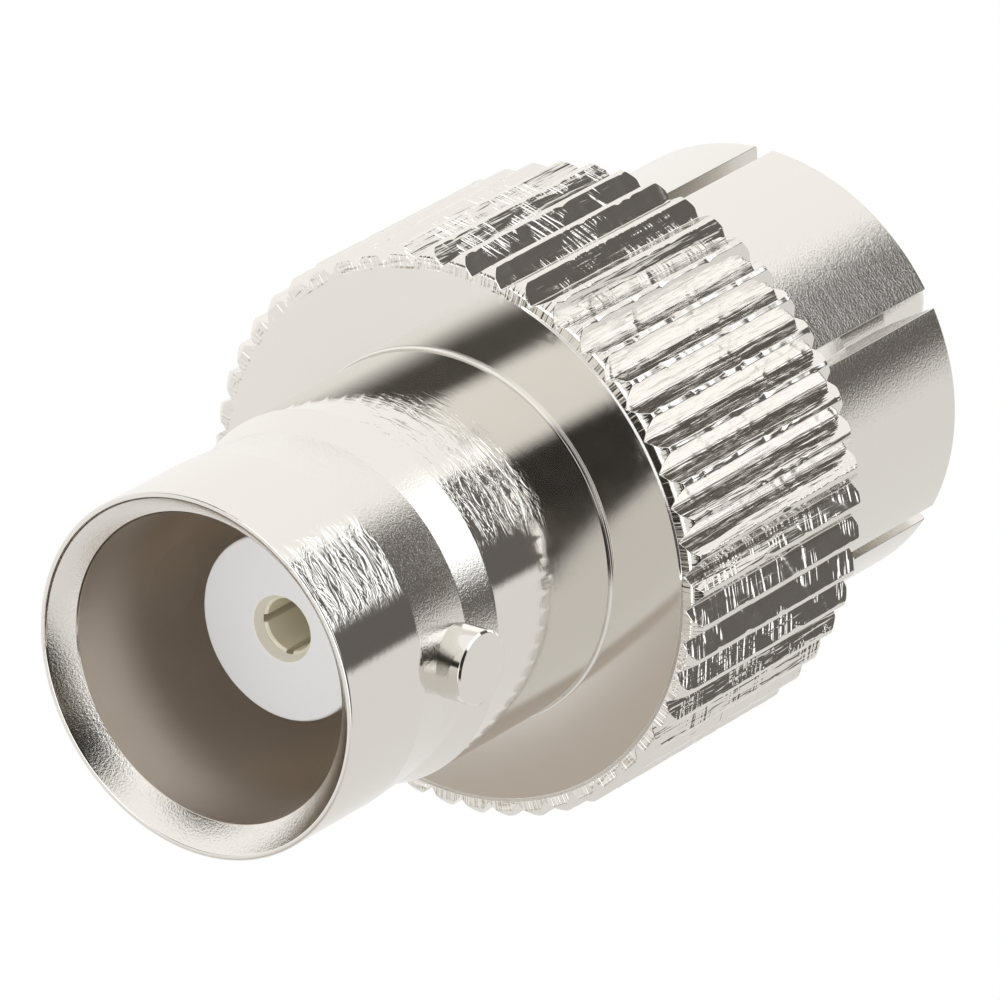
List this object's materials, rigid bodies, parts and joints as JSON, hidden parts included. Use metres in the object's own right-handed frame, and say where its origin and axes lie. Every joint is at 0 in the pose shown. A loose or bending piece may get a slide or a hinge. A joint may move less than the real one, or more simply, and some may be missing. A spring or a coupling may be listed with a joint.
{
  "type": "coax adapter",
  "caption": "Metal coaxial adapter: a bayonet jack with side lugs, a straight-knurled grip, and a phono plug whose pin stands out past a slotted sleeve.",
  "frame": {"origin": "middle of the jack's rim, on the plane that the adapter stands on with its mouth down", "axes": "+Z along the adapter's axis from the jack's rim towards the plug; the bayonet lugs lie on the X axis"},
  "size_m": [0.0154, 0.0154, 0.0311],
  "materials": {
    "nickel_plate": "bright polished nickel plate over brass",
    "white_insulator": "smooth white insulator",
    "gold_contact": "thin gold plate"
  },
  "bodies": {
    "root": {"jack_body": "nickel_plate", "bayonet_lug_1": "nickel_plate", "bayonet_lug_2": "nickel_plate", "grip_body": "nickel_plate", "plug_sleeve": "nickel_plate", "phono_pin": "nickel_plate", "front_insulator": "white_insulator", "rear_insulator": "white_insulator", "socket_contact": "gold_contact"}
  },
  "joints": []
}
